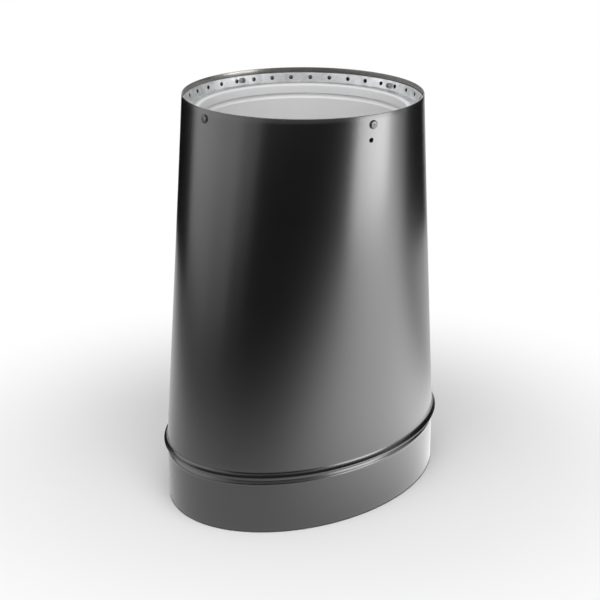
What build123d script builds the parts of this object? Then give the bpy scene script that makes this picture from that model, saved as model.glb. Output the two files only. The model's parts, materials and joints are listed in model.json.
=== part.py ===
from build123d import *
from math import asin, atan2, cos, degrees, hypot, radians, sin
import os

# Double-wall stovepipe adapter: an oval end over the appliance, a round end for the flue above.
# Millimetres. Origin at the centre of the bottom edge, +Z up along the flue, X along the oval.

# Overall sizes of the outer wall
height = 304.8  # bottom edge of the collar to the round rim
rim_radius = 88.9
oval_half_length = 120.65
oval_half_width = 88.9
collar_height = 44.45  # bottom edge of the collar to the underside of the shell's lip

# Overall sizes of the inner wall
flue_radius = 76.2  # bore that takes the next pipe's inner wall
spigot_half_length = 107.95  # outside of the oval end that enters the appliance's flue collar
spigot_half_width = 76.2

# Sheet thicknesses and clearances
shell_sheet = 0.6
ring_sheet = 0.5
liner_sheet = 0.46
lap_clearance = 0.05  # between two sheets that are fastened together
slide_clearance = 0.3  # where the hot inner wall may grow past the cold outer wall
curve_steps = 6  # flats that stand for each rolled curve of an oval piece
cut_through = 2.0  # how far a hole's cutter runs past the sheet

# Rolled lip at the shell's lower edge
lip_radius = 3.6
lip_turn = 78  # degrees that the sheet turns outwards
hem_height = 1.2
hem_width = 1.2

# Oval collar
collar_bead_height = 3.0
collar_bead_depth = 0.6
collar_bead_gap = 4.2  # lip's underside down to the top of the bead
neck_height = 1.5
tongue_length = 6.0  # how far the collar reaches up inside the tapered wall

# Perforated spacer ring at the round end
top_ring_drop = 4.0  # rim down to the ring's upper edge
top_ring_depth = 7.2  # ring's upper edge down to its floor
top_ring_lean = 1.5  # how much narrower the perforated band is at its foot
top_flange_length = 5.5
ring_bend_radius = 0.8
top_vent_count = 36
top_vent_radius = 1.6
top_vent_angle = 7.2

# Inner sleeve
sleeve_length = 53.0
sleeve_rim_width = 3.0
sleeve_bead_height = 4.4
sleeve_bead_depth = 1.4

# Inner liner and oval spigot
liner_lap = 12.0  # overlap of the liner on the sleeve
liner_transition_gap = 2.0  # straight stretch beyond each lap, before the taper starts
spigot_recess = 3.0  # spigot's lower edge above the collar's
spigot_lead_in = 1.0
spigot_lead_height = 6.0
spigot_bead_height = 5.0
spigot_bead_depth = 1.5
spigot_bead_gap = 2.0  # bead's top down from the lower spacer ring
spigot_lap = 14.0  # overlap of the spigot on the liner

# Perforated spacer ring inside the collar
bottom_ring_drop = 0.95  # lip's underside down to the ring's floor
bottom_hem_height = 6.0
bottom_flange_height = 12.0
bottom_vent_count = 44
bottom_vent_radius = 2.2

# Blind rivets, and the pilot holes for the next joint's screws
rivet_shank_radius = 1.6
rivet_hole_clearance = 0.05
rivet_head_radius = 3.2
rivet_head_height = 1.1
rivet_edge_height = 0.25
rivet_shoulder_radius = 2.0  # point that the domed head passes through
rivet_shoulder_height = 0.9
rivet_tail_radius = 2.2
rivet_tail_length = 2.0
mandrel_radius = 0.9
mandrel_clearance = 0.02
mandrel_recess = 0.3
mandrel_ball_radius = 1.4
mandrel_ball_length = 1.0
mandrel_ball_flat = 0.5
mandrel_shoulder_radius = 1.12  # point that the ball's curve passes through
mandrel_shoulder_length = 0.75
top_rivet_slack = 0.7  # room behind the leaning band for the tail
spigot_rivet_slack = 0.12
top_rivet_drop = 7.0
top_rivet_angles = (74, 171, 254, 351)
spigot_rivet_count = 6
spigot_rivet_rise = 7.5  # ring's floor up to the rivets
pilot_drop = 17.8
pilot_count = 3
pilot_angle = 253
pilot_radius = 1.8

# Heights that follow from the sizes above
lip_top = collar_height + hem_height + lip_radius * sin(radians(lip_turn))
top_floor = height - top_ring_drop - top_ring_depth
top_flange_foot = top_floor - ring_sheet - top_flange_length
sleeve_bottom = top_floor - sleeve_length
liner_top = sleeve_bottom + liner_lap
bottom_floor = collar_height - bottom_ring_drop
spigot_top = bottom_floor + ring_sheet + spigot_lap
liner_bottom = bottom_floor + ring_sheet
rivet_hole_radius = rivet_shank_radius + rivet_hole_clearance

os.makedirs("parts", exist_ok=True)


def blend(z, low, low_size, high, high_size):
    """Half length and half width at height z of a straight taper, held level beyond its ends."""
    share = min(max((z - low) / (high - low), 0), 1)
    return tuple(a + share * (b - a) for a, b in zip(low_size, high_size))


def shell_size(z):
    """Outside of the shell."""
    return blend(z, lip_top, (oval_half_length, oval_half_width), height, (rim_radius, rim_radius))


def spigot_size(z):
    """Outside of the spigot, the same all the way up."""
    return spigot_half_length, spigot_half_width


def liner_size(z):
    """Outside of the liner: inside the spigot at its foot, outside the sleeve at its top."""
    inset = liner_sheet + lap_clearance
    oval = (spigot_half_length - inset, spigot_half_width - inset)
    round_end = flue_radius + 2 * liner_sheet + lap_clearance
    low = spigot_top + liner_transition_gap
    high = sleeve_bottom - liner_transition_gap
    return blend(z, low, oval, high, (round_end, round_end))


def loft_oval(size, outline, mode=Mode.ADD):
    """Solid whose section at each (offset, height) of the outline is the oval there, grown by offset."""
    sections = []
    for offset_out, z in outline:
        half_length, half_width = size(z)
        with BuildSketch(Plane.XY.offset(z), mode=Mode.PRIVATE) as section:
            Ellipse(half_length + offset_out, half_width + offset_out)
        sections.append(section.sketch.face())
    loft(sections=sections, ruled=True, mode=mode)


def bead(low, bead_height, depth, inset=0):
    """Outline points of a shallow round bead that stands out by depth; inset gives its inside."""
    half = bead_height / 2
    radius = (half * half + depth * depth) / (2 * depth)
    half_angle = asin(half / radius)
    points = []
    for step in range(curve_steps + 1):
        angle = half_angle * (2 * step / curve_steps - 1)
        reach = radius * cos(angle) - (radius - depth)
        points.append((reach - inset, low + half + radius * sin(angle)))
    return points


def wall_plane(size, angle, offset_out, z):
    """Plane on the wall grown by offset_out, at polar angle, with its Z axis square out of the wall."""
    half_length, half_width = (extent + offset_out for extent in size(z))
    length_slope, width_slope = ((above - below) / 2 for above, below in zip(size(z + 1), size(z - 1)))
    across, along = cos(radians(angle)), sin(radians(angle))
    reach = 1 / hypot(across / half_length, along / half_width)
    x, y = reach * across, reach * along
    rise = -(x**2) * length_slope / half_length**3 - y**2 * width_slope / half_width**3
    outward = Vector(x / half_length**2, y / half_width**2, rise).normalized()
    return Plane(origin=(x, y, z), x_dir=Vector(0, 0, 1).cross(outward), z_dir=outward)


def punch(planes, radius, depth):
    """Round holes along the Z axis of each plane, cut to the depth on both sides of it."""
    with Locations(*planes):
        Cylinder(radius, 2 * depth, mode=Mode.SUBTRACT)


def rivet_axis_plane(seat):
    """Drawing plane through a rivet: its X axis is the rivet's own, pointing out of the head."""
    return Plane(origin=seat.origin, x_dir=seat.z_dir, z_dir=seat.x_dir)


def add_rivet(seat, grip):
    """Blind rivet with a domed head on the seat, its tail spread beyond the sheets it grips."""
    tail = -grip - rivet_tail_length
    bore = mandrel_radius + mandrel_clearance
    with BuildSketch(rivet_axis_plane(seat), mode=Mode.PRIVATE) as profile:
        with BuildLine():
            Polyline((rivet_head_height, bore), (tail, bore), (tail, rivet_shank_radius))
            ThreePointArc(
                (tail, rivet_shank_radius),
                (tail / 2 - grip / 2, rivet_tail_radius),
                (-grip, rivet_shank_radius),
            )
            Polyline(
                (-grip, rivet_shank_radius),
                (0, rivet_shank_radius),
                (0, rivet_head_radius),
                (rivet_edge_height, rivet_head_radius),
            )
            ThreePointArc(
                (rivet_edge_height, rivet_head_radius),
                (rivet_shoulder_height, rivet_shoulder_radius),
                (rivet_head_height, bore),
            )
        make_face()
    revolve(profiles=profile.sketch, axis=Axis(seat.origin, seat.z_dir))


def add_mandrel(seat, grip):
    """Broken-off mandrel left in a rivet, with its ball behind the tail."""
    tail = -grip - rivet_tail_length - mandrel_clearance
    with BuildSketch(rivet_axis_plane(seat), mode=Mode.PRIVATE) as profile:
        with BuildLine():
            Polyline(
                (tail - mandrel_ball_length, mandrel_ball_flat),
                (tail - mandrel_ball_length, 0),
                (rivet_head_height - mandrel_recess, 0),
                (rivet_head_height - mandrel_recess, mandrel_radius),
                (tail, mandrel_radius),
                (tail, mandrel_ball_radius),
            )
            ThreePointArc(
                (tail, mandrel_ball_radius),
                (tail - mandrel_shoulder_length, mandrel_shoulder_radius),
                (tail - mandrel_ball_length, mandrel_ball_flat),
            )
        make_face()
    revolve(profiles=profile.sketch, axis=Axis(seat.origin, seat.z_dir))


# Seats of the rivets on the outer face of what they hold, and the length that each one grips
top_rivet_height = height - top_rivet_drop
band_share = (top_rivet_drop - top_ring_drop) / top_ring_depth
band_inside = rim_radius - shell_sheet - lap_clearance - band_share * top_ring_lean - ring_sheet
top_rivet_seats = [wall_plane(shell_size, angle, 0, top_rivet_height) for angle in top_rivet_angles]
top_rivet_grips = [
    hypot(seat.origin.X, seat.origin.Y) - band_inside + top_rivet_slack for seat in top_rivet_seats
]
bottom_flange_outside = lap_clearance + ring_sheet
spigot_rivet_seats = [
    wall_plane(spigot_size, index * 360 / spigot_rivet_count, bottom_flange_outside,
                bottom_floor + spigot_rivet_rise)
    for index in range(spigot_rivet_count)
]
spigot_rivet_grip = ring_sheet + 2 * liner_sheet + 2 * lap_clearance + spigot_rivet_slack


# Outer shell: ruled wall from the oval up to the round rim, its lower edge rolled out and hemmed
def lip_curve(inset):
    """Outline points of the rolled lip, from the level of the hem's top up to the wall."""
    radius = lip_radius + inset
    turn = asin(lip_radius * sin(radians(lip_turn)) / radius)
    points = []
    for step in range(curve_steps, -1, -1):
        angle = turn * step / curve_steps
        points.append((lip_radius - radius * cos(angle), lip_top - radius * sin(angle)))
    return points


lip_reach = lip_radius * (1 - cos(radians(lip_turn)))
hem_top = collar_height + hem_height
with BuildPart() as outer_shell:
    loft_oval(shell_size, [(lip_reach, collar_height), *lip_curve(0), (0, height)])
    loft_oval(shell_size, [*lip_curve(shell_sheet), (-shell_sheet, height)], mode=Mode.SUBTRACT)
    loft_oval(
        shell_size,
        [(lip_reach - hem_width, collar_height), (lip_reach - hem_width, hem_top)],
        mode=Mode.SUBTRACT,
    )
    punch(top_rivet_seats, rivet_hole_radius, shell_sheet + lap_clearance)
    pilot_angles = [pilot_angle + index * 360 / pilot_count for index in range(pilot_count)]
    punch(
        [wall_plane(shell_size, angle, 0, height - pilot_drop) for angle in pilot_angles],
        pilot_radius,
        cut_through,
    )
outer_shell.part.label = "outer_shell"
export_step(outer_shell.part, "parts/outer_shell.step")

# Oval collar: plain wall, a shallow bead, and a tongue drawn in to slip up inside the shell
bead_low = collar_height - collar_bead_gap - collar_bead_height
neck_low = bead_low + collar_bead_height
tongue_inset = shell_sheet + lap_clearance
with BuildPart() as oval_collar:
    for inset, mode in ((0, Mode.ADD), (shell_sheet, Mode.SUBTRACT)):
        loft_oval(
            shell_size,
            [
                (-inset, 0),
                *bead(bead_low, collar_bead_height, collar_bead_depth, inset),
                (-inset - tongue_inset, neck_low + neck_height),
                (-inset - tongue_inset, lip_top),
                (-inset - tongue_inset, lip_top + tongue_length),
            ],
            mode=mode,
        )
oval_collar.part.label = "oval_collar"
export_step(oval_collar.part, "parts/oval_collar.step")

# Spacer ring at the round end: leaning perforated band, floor, and a flange round the sleeve
band_top_radius = rim_radius - shell_sheet - lap_clearance - ring_sheet / 2
flange_radius = flue_radius + liner_sheet + lap_clearance + ring_sheet / 2
floor_middle = top_floor - ring_sheet / 2
band_foot_radius = band_top_radius - top_ring_lean
with BuildPart() as top_spacer_ring:
    with BuildSketch(Plane.XZ) as ring_section:
        with BuildLine() as ring_line:
            FilletPolyline(
                (band_top_radius, height - top_ring_drop),
                (band_foot_radius, floor_middle),
                (flange_radius, floor_middle),
                (flange_radius, top_flange_foot),
                radius=ring_bend_radius,
            )
        trace(line_width=ring_sheet)
    revolve(axis=Axis.Z)
    vent_height = (height - top_ring_drop + top_floor) / 2
    lean_angle = degrees(atan2(top_ring_lean, top_ring_depth))
    with Locations((0, 0, vent_height)):
        with PolarLocations((band_top_radius + band_foot_radius) / 2, top_vent_count, top_vent_angle):
            Cylinder(top_vent_radius, 2 * cut_through, rotation=(0, 90 + lean_angle, 0), mode=Mode.SUBTRACT)
    punch(top_rivet_seats, rivet_hole_radius, shell_sheet + top_ring_lean + cut_through)
top_spacer_ring.part.label = "top_spacer_ring"
export_step(top_spacer_ring.part, "parts/top_spacer_ring.step")

# Inner sleeve: straight round socket that hangs by its turned-out rim on the ring's floor
sleeve_middle = flue_radius + liner_sheet / 2
rim_middle = top_floor + lap_clearance + liner_sheet / 2
bead_top = top_flange_foot - lap_clearance - liner_sheet / 2
bead_foot = bead_top - sleeve_bead_height
sleeve_rim_bend = ring_bend_radius + ring_sheet / 2 + lap_clearance + liner_sheet / 2
with BuildPart() as inner_sleeve:
    with BuildSketch(Plane.XZ) as sleeve_section:
        with BuildLine() as sleeve_line:
            FilletPolyline(
                (sleeve_middle + sleeve_rim_width, rim_middle),
                (sleeve_middle, rim_middle),
                (sleeve_middle, bead_top),
                radius=sleeve_rim_bend,
            )
            ThreePointArc(
                (sleeve_middle, bead_top),
                (sleeve_middle + sleeve_bead_depth, bead_top - sleeve_bead_height / 2),
                (sleeve_middle, bead_foot),
            )
            Line((sleeve_middle, bead_foot), (sleeve_middle, sleeve_bottom))
        trace(line_width=liner_sheet)
    revolve(axis=Axis.Z)
inner_sleeve.part.label = "inner_sleeve"
export_step(inner_sleeve.part, "parts/inner_sleeve.step")

# Inner liner: round lap over the sleeve, ruled taper, and an oval lap inside the spigot
with BuildPart() as inner_liner:
    liner_bends = [
        liner_bottom,
        spigot_top + liner_transition_gap,
        sleeve_bottom - liner_transition_gap,
        liner_top,
    ]
    loft_oval(liner_size, [(0, z) for z in liner_bends])
    loft_oval(liner_size, [(-liner_sheet, z) for z in liner_bends], mode=Mode.SUBTRACT)
    punch(spigot_rivet_seats, rivet_hole_radius, spigot_rivet_grip)
inner_liner.part.label = "inner_liner"
export_step(inner_liner.part, "parts/inner_liner.step")

# Oval spigot: end that enters the appliance's flue collar, with a stop bead and a drawn-in edge
spigot_bead_low = bottom_floor - spigot_bead_gap - spigot_bead_height
with BuildPart() as oval_spigot:
    for inset, mode in ((0, Mode.ADD), (liner_sheet, Mode.SUBTRACT)):
        loft_oval(
            spigot_size,
            [
                (-inset - spigot_lead_in, spigot_recess),
                (-inset, spigot_recess + spigot_lead_height),
                *bead(spigot_bead_low, spigot_bead_height, spigot_bead_depth, inset),
                (-inset, spigot_top),
            ],
            mode=mode,
        )
    punch(spigot_rivet_seats, rivet_hole_radius, spigot_rivet_grip)
oval_spigot.part.label = "oval_spigot"
export_step(oval_spigot.part, "parts/oval_spigot.step")

# Spacer ring inside the collar: hem that slides in the collar, drilled floor, riveted flange
hem_outside = -tongue_inset - shell_sheet - slide_clearance
hem_inside = hem_outside - ring_sheet
with BuildPart() as bottom_spacer_ring:
    loft_oval(shell_size, [(hem_outside, bottom_floor), (hem_outside, bottom_floor + bottom_hem_height)])
    loft_oval(
        shell_size,
        [
            (hem_inside, bottom_floor + ring_sheet),
            (hem_inside, bottom_floor + bottom_hem_height),
        ],
        mode=Mode.SUBTRACT,
    )
    loft_oval(
        spigot_size,
        [(bottom_flange_outside, bottom_floor), (bottom_flange_outside, bottom_floor + bottom_flange_height)],
    )
    loft_oval(
        spigot_size,
        [(lap_clearance, bottom_floor), (lap_clearance, bottom_floor + bottom_flange_height)],
        mode=Mode.SUBTRACT,
    )
    vent_half_length = (oval_half_length + hem_inside + spigot_half_length + bottom_flange_outside) / 2
    vent_half_width = (oval_half_width + hem_inside + spigot_half_width + bottom_flange_outside) / 2
    vent_line = Edge.make_ellipse(vent_half_length, vent_half_width, Plane.XY.offset(bottom_floor))
    vent_points = [
        vent_line.position_at(vent_line.length * index / bottom_vent_count, position_mode=PositionMode.LENGTH)
        for index in range(bottom_vent_count)
    ]
    with Locations(*vent_points):
        Cylinder(bottom_vent_radius, 2 * cut_through, mode=Mode.SUBTRACT)
    punch(spigot_rivet_seats, rivet_hole_radius, spigot_rivet_grip)
bottom_spacer_ring.part.label = "bottom_spacer_ring"
export_step(bottom_spacer_ring.part, "parts/bottom_spacer_ring.step")

# Blind rivets, each a body with its mandrel left inside
with BuildPart() as top_rivets:
    for seat, grip in zip(top_rivet_seats, top_rivet_grips):
        add_rivet(seat, grip)
top_rivets.part.label = "top_rivets"
export_step(top_rivets.part, "parts/top_rivets.step")

with BuildPart() as top_rivet_mandrels:
    for seat, grip in zip(top_rivet_seats, top_rivet_grips):
        add_mandrel(seat, grip)
top_rivet_mandrels.part.label = "top_rivet_mandrels"
export_step(top_rivet_mandrels.part, "parts/top_rivet_mandrels.step")

with BuildPart() as spigot_rivets:
    for seat in spigot_rivet_seats:
        add_rivet(seat, spigot_rivet_grip)
spigot_rivets.part.label = "spigot_rivets"
export_step(spigot_rivets.part, "parts/spigot_rivets.step")

with BuildPart() as spigot_rivet_mandrels:
    for seat in spigot_rivet_seats:
        add_mandrel(seat, spigot_rivet_grip)
spigot_rivet_mandrels.part.label = "spigot_rivet_mandrels"
export_step(spigot_rivet_mandrels.part, "parts/spigot_rivet_mandrels.step")
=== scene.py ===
import json
import math

import bmesh
import bpy
import numpy as np
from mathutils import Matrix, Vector


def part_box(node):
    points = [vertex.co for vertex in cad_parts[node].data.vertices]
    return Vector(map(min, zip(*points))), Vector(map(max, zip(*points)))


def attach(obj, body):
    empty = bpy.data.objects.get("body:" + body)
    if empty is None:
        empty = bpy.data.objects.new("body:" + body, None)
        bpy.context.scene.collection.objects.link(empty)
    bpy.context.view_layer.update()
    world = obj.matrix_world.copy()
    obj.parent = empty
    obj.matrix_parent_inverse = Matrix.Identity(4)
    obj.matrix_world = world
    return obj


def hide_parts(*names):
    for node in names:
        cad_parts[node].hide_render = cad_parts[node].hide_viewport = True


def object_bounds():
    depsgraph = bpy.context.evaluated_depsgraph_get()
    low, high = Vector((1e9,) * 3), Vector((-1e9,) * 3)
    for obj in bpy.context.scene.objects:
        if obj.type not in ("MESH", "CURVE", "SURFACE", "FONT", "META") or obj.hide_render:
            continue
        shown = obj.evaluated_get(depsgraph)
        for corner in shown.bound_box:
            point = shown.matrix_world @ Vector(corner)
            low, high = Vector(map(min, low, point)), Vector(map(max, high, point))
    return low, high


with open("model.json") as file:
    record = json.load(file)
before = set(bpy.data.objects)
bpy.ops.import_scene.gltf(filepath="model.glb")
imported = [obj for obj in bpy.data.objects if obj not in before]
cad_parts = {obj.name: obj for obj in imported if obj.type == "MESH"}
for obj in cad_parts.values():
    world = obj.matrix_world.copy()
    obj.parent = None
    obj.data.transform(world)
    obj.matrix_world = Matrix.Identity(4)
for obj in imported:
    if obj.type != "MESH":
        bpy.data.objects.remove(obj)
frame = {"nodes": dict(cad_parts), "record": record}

# Looks of the double-wall oval-to-round flue adapter. Metres; +Z runs up the flue, X along the oval.
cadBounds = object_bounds()
mm = 0.001
fullTurn = 2 * math.pi
print("frame loaded:", len(frame["nodes"]), "CAD nodes")

shellLow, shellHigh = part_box("outer_shell")
collarLow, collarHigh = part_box("oval_collar")
topRingLow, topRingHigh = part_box("top_spacer_ring")
sleeveLow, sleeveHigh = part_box("inner_sleeve")
linerLow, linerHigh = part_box("inner_liner")
spigotLow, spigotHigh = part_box("oval_spigot")
bottomRingLow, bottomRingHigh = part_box("bottom_spacer_ring")
bottomZ = cadBounds[0].z
rimZ = shellHigh.z
lipZ = shellLow.z

# What the sheet metal is cut from, the same for every piece made of it
sheetStock = {
    "shell": 0.6 * mm,
    "ring": 0.5 * mm,
    "liner": 0.46 * mm,
    "lap": 0.05 * mm,  # air between two sheets that lie on each other
}


samePlace = 1e-6  # points nearer to each other than this, in metres, are one
straightFrom = math.radians(89.5)  # a corner whose half angle is past this counts as straight
mostOfRun = 0.49  # largest share of a run that a bend may take


# shapes

def taper(low, lowSize, high, highSize):
    # gives the half length and half width of a wall at any height, level beyond the taper's ends
    lowSize, highSize = np.array(lowSize), np.array(highSize)

    def sizeAt(z):
        share = np.clip((np.asarray(z, float) - low) / (high - low), 0, 1)[..., None]
        return lowSize + share * (highSize - lowSize)

    return sizeAt


def evenSize(*size):
    # a wall that has one size at every height
    return taper(0, size, 1, size)


def roundPath(corners, radius, steps=6):
    # corners joined by straight runs, each inner corner turned on an arc
    path = [np.array(corners[0], float)]
    for before, corner, after in zip(corners, corners[1:], corners[2:]):
        before, corner, after = (np.array(p, float) for p in (before, corner, after))
        back, on = before - corner, after - corner
        backLength, onLength = np.hypot(*back), np.hypot(*on)
        back, on = back / backLength, on / onLength
        half = math.acos(np.clip(back @ on, -1, 1)) / 2
        if half > straightFrom:
            path.append(corner)
            continue
        reach = min(radius / math.tan(half), mostOfRun * backLength, mostOfRun * onLength)
        bend = reach * math.tan(half)
        centre = corner + (back + on) / np.hypot(*(back + on)) * bend / math.sin(half)
        start, end = corner + back * reach - centre, corner + on * reach - centre
        sweep = math.atan2(start[0] * end[1] - start[1] * end[0], start @ end)
        for step in range(steps + 1):
            cosine, sine = math.cos(sweep * step / steps), math.sin(sweep * step / steps)
            path.append(centre + np.array(((cosine, -sine), (sine, cosine))) @ start)
    path.append(np.array(corners[-1], float))
    return path


def arcPath(centre, radius, fromAngle, toAngle, steps):
    # points of an arc in (offset, height), angles in degrees from the offset axis
    angles = [math.radians(fromAngle + (toAngle - fromAngle) * step / steps) for step in range(steps + 1)]
    return [
        np.array((centre[0] + radius * math.cos(angle), centre[1] + radius * math.sin(angle)))
        for angle in angles
    ]


def beadPath(offset, low, high, depth, steps=10):
    # a shallow round bead standing out from a plain wall, from its low end to its high end
    half = (high - low) / 2
    radius = (half**2 + depth**2) / (2 * depth)
    reach = math.degrees(math.asin(half / radius))
    return arcPath((offset + depth - radius, low + half), radius, -reach, reach, steps)


class Surface:
    # middle of a sheet: a path in (offset, height) carried round an oval whose size may change with height

    def __init__(self, path, sizeAt):
        kept = [np.array(path[0], float)]
        for point in path[1:]:
            if np.hypot(*(point - kept[-1])) > samePlace:
                kept.append(np.array(point, float))
        self.path = np.array(kept)
        self.sizeAt = sizeAt
        self.along = np.concatenate(([0], np.cumsum(np.hypot(*np.diff(self.path, axis=0).T))))

    def point(self, turn, distance):
        turn, distance = np.broadcast_arrays(np.asarray(turn, float), np.asarray(distance, float))
        last = len(self.along) - 2
        leg = np.clip(np.searchsorted(self.along, distance, side="right") - 1, 0, last)
        share = (distance - self.along[leg]) / (self.along[leg + 1] - self.along[leg])
        low, high = self.path[leg], self.path[leg + 1]
        offset, height = (low[..., axis] + share * (high[..., axis] - low[..., axis]) for axis in (0, 1))
        size = self.sizeAt(height)
        x = (size[..., 0] + offset) * np.cos(turn)
        y = (size[..., 1] + offset) * np.sin(turn)
        return np.stack((x, y, height), -1)

    def slopes(self, turn, distance, step=1e-5):
        turn, distance = np.asarray(turn), np.asarray(distance)
        around = self.point(turn + step, distance) - self.point(turn - step, distance)
        up = self.point(turn, distance + step) - self.point(turn, distance - step)
        return around / (2 * step), up / (2 * step)

    def normal(self, turn, distance):
        around, up = self.slopes(turn, distance)
        across = np.cross(around, up)
        return across / np.linalg.norm(across, axis=-1, keepdims=True)

    def distanceAt(self, height):
        # first place along the path that is at this height
        for (_, z0), (_, z1), start, end in zip(self.path, self.path[1:], self.along, self.along[1:]):
            if min(z0, z1) <= height <= max(z0, z1) and z0 != z1:
                return start + (height - z0) / (z1 - z0) * (end - start)
        raise ValueError(f"the path never reaches {height}")


blockCells = 6  # cells along each side of the square patch that holds a round hole
rowRoom, columnRoom = 1.01, 1.25  # how far other grid lines keep from a block, in its half widths
sameLine = 1e-7  # grid lines nearer than this are one
edgeStep = 2e-5  # how far in from a sheet's end its slope is taken
sharpAngle = math.radians(38)  # bends sharper than this keep a crisp edge
# how near a point is to a cut edge, from 0 to 1, for the worn finish there
nearness = {"lastRow": 0.7, "hole": 0.8, "edge": 1.0}


def gridLines(lines, blocks, room, length=None):
    # lines of a grid, with those near a hole's block taken out and the block's own put in
    kept = []
    for line in lines:
        gaps = [abs(line - middle) for middle, half in blocks]
        if length:
            gaps = [min(gap, length - gap) for gap in gaps]
        if all(gap > half * room for gap, (middle, half) in zip(gaps, blocks)):
            kept.append(line)
    for middle, half in blocks:
        for step in range(-blockCells // 2, blockCells // 2 + 1):
            line = middle + half * 2 * step / blockCells
            kept.append(line % length if length else line)
    merged = []
    for line in sorted(kept):
        if not merged or line - merged[-1] > sameLine:
            merged.append(line)
    return np.array(merged)


def shareBlock(blocks, middle, half):
    # block for a hole: one that is there already, if the hole lies near its middle, or else a new one
    for block in blocks:
        if abs(block[0] - middle) < half / 2:
            block[1] = max(block[1], half)
            return block
    blocks.append([middle, half])
    return blocks[-1]


def makeSheet(name, surface, thickness, holes, columns, extraRows):
    # a sheet of even thickness about its middle surface, with rounded edges and true round holes
    holeList, rowBlocks, columnBlocks = [], [], []
    for turn, distance, radius, margin in holes:
        around, _ = surface.slopes(turn, distance)
        stretch = float(np.linalg.norm(around))
        half = radius + margin
        row = shareBlock(rowBlocks, distance, half)
        column = shareBlock(columnBlocks, turn % fullTurn, half / stretch)
        holeList.append((turn % fullTurn, distance, radius, stretch, row, column))
    distances = gridLines(np.concatenate((surface.along, extraRows)), rowBlocks, rowRoom)
    turns = np.linspace(0, fullTurn, columns, endpoint=False)
    turns = gridLines(turns, columnBlocks, columnRoom, fullTurn)
    rowCount, columnCount = len(distances), len(turns)

    vertices, edgeNear, faces = [], [], []

    def addPoints(points, nearEdge):
        first = len(vertices)
        vertices.extend(points.reshape(-1, 3).tolist())
        edgeNear.extend([nearEdge] * (points.size // 3))
        return first

    gridTurns, gridDistances = np.meshgrid(turns, distances)
    middle = surface.point(gridTurns, gridDistances)
    outward = surface.normal(gridTurns, gridDistances) * thickness / 2
    sides = [addPoints(middle + side * outward, 0.0) for side in (1, -1)]
    for side in sides:
        for first in (side, side + (rowCount - 1) * columnCount):
            edgeNear[first:first + columnCount] = [nearness["lastRow"]] * columnCount

    # patches that hold the holes
    taken = set()
    half = blockCells // 2
    run = range(-half, half)
    steps = [(-half, step) for step in run] + [(step, half) for step in run]
    steps += [(-row, -column) for row, column in steps]
    for turn, distance, radius, stretch, rowBlock, columnBlock in holeList:
        rowMiddle = int(np.argmin(abs(distances - rowBlock[0])))
        gaps = abs(turns - columnBlock[0])
        columnMiddle = int(np.argmin(np.minimum(gaps, fullTurn - gaps)))
        taken.update(
            (rowMiddle + row, (columnMiddle + column) % columnCount)
            for row in run
            for column in run
        )
        angles = np.array([math.atan2(row, column) for row, column in steps])
        ringTurns = turn + radius * np.cos(angles) / stretch
        ringDistances = distance + radius * np.sin(angles)
        ringMiddle = surface.point(ringTurns, ringDistances)
        ringOutward = surface.normal(ringTurns, ringDistances) * thickness / 2
        rings = [addPoints(ringMiddle + side * ringOutward, nearness["hole"]) for side in (1, -1)]
        count = len(steps)
        border = [
            (rowMiddle + row) * columnCount + (columnMiddle + column) % columnCount for row, column in steps
        ]
        (outer, inner), (outerRing, innerRing) = sides, rings
        for index in range(count):
            after = (index + 1) % count
            here, there = border[index], border[after]
            faces.append((outer + here, outer + there, outerRing + after, outerRing + index))
            faces.append((inner + there, inner + here, innerRing + index, innerRing + after))
            faces.append((outerRing + index, outerRing + after, innerRing + after, innerRing + index))

    for row in range(rowCount - 1):
        for column in range(columnCount):
            if (row, column) in taken:
                continue
            a, b = row * columnCount + column, row * columnCount + (column + 1) % columnCount
            c, d = b + columnCount, a + columnCount
            faces.append(tuple(sides[0] + i for i in (a, b, c, d)))
            faces.append(tuple(sides[1] + i for i in (d, c, b, a)))

    # half-round edges at both ends of the path
    for row, way in ((0, -1), (rowCount - 1, 1)):
        _, up = surface.slopes(turns, np.full(columnCount, distances[row]) - way * edgeStep)
        up = way * up / np.linalg.norm(up, axis=-1, keepdims=True) * thickness / 2
        strips = [sides[0] + row * columnCount]
        for angle in (45, 90, 135):
            bent = outward[row] * math.cos(math.radians(angle)) + up * math.sin(math.radians(angle))
            strips.append(addPoints(middle[row] + bent, nearness["edge"]))
        strips.append(sides[1] + row * columnCount)
        for near, far in zip(strips, strips[1:]):
            for column in range(columnCount):
                after = (column + 1) % columnCount
                face = (near + column, near + after, far + after, far + column)
                faces.append(face if way > 0 else face[::-1])
    # the grid's points inside the patches belong to no face
    used = sorted({index for face in faces for index in face})
    renumbered = {index: place for place, index in enumerate(used)}
    return makeObject(
        name,
        [vertices[index] for index in used],
        [tuple(renumbered[index] for index in face) for face in faces],
        [edgeNear[index] for index in used],
    )


def addPointValues(mesh, name, values):
    mesh.attributes.new(name, "FLOAT", "POINT").data.foreach_set("value", values)


def makeObject(name, vertices, faces, edgeNear=None):
    mesh = bpy.data.meshes.new(name)
    mesh.from_pydata(vertices, [], faces)
    mesh.validate()
    bm = bmesh.new()
    bm.from_mesh(mesh)
    bmesh.ops.recalc_face_normals(bm, faces=bm.faces)
    bm.to_mesh(mesh)
    bm.free()
    if edgeNear:
        addPointValues(mesh, "edgeNear", edgeNear)
    mesh.shade_smooth()
    mesh.set_sharp_from_angle(angle=sharpAngle)
    return addToScene(name, mesh)


def addToScene(name, data):
    made = bpy.data.objects.new(name, data)
    bpy.context.scene.collection.objects.link(made)
    return made


def makeWall(node, surface, thickness, slot, holes, columns, extraRows=()):
    piece = makeSheet(node + "_sheet", surface, thickness, holes, columns, extraRows)
    placePiece(piece, slot, node)
    return piece


def placePiece(piece, slot, node):
    piece.data.materials.append(finishes[slot])
    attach(piece, "root")
    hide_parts(node)


# surface effects that several finishes share

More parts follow.
